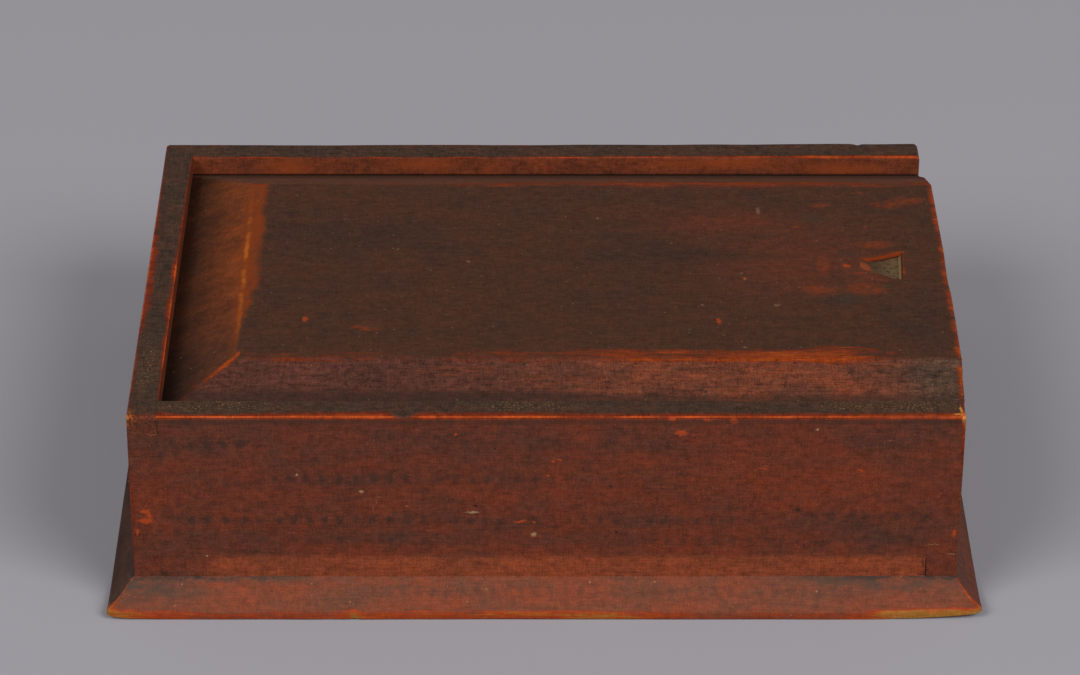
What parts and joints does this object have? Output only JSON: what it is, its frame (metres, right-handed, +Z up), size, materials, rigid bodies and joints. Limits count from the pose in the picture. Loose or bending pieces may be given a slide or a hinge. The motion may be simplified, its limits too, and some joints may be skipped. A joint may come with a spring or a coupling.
{
  "type": "slide-lid wooden box",
  "caption": "Dovetailed wooden box on a bevelled base, with a raised-panel lid that slides out endways in grooves over a low end board, pushed by a thumb notch.",
  "frame": {"origin": "centre of the base's underside, on the table", "axes": "+X along the box towards the end where the lid draws out, +Y to the back, +Z up"},
  "size_m": [0.2704, 0.1944, 0.0705],
  "materials": {
    "case_paint": "old red paint under a dark patina, worn to orange and bare wood at the arrises",
    "base_paint": "old red paint, worn to bare wood at the foot and corners",
    "lid_paint": "old red paint under a dark brown patina",
    "bottom_wood": "bare aged softwood, painted along its long edges",
    "iron": "rusted wrought iron"
  },
  "bodies": {
    "case": {"base_strip_front": "base_paint", "base_strip_back": "base_paint", "base_strip_left": "base_paint", "base_strip_right": "base_paint", "base_brads": "iron", "bottom_board": "bottom_wood", "bottom_brads": "iron", "left_end_board": "case_paint", "right_end_board": "case_paint", "front_board": "case_paint", "back_board": "case_paint"},
    "lid": {"lid_panel": "lid_paint"}
  },
  "joints": [
    {"name": "lid_slide", "type": "slide", "parent": "case", "child": "lid", "axis": [1, 0, 0], "range_m": [0, 0.245]}
  ]
}
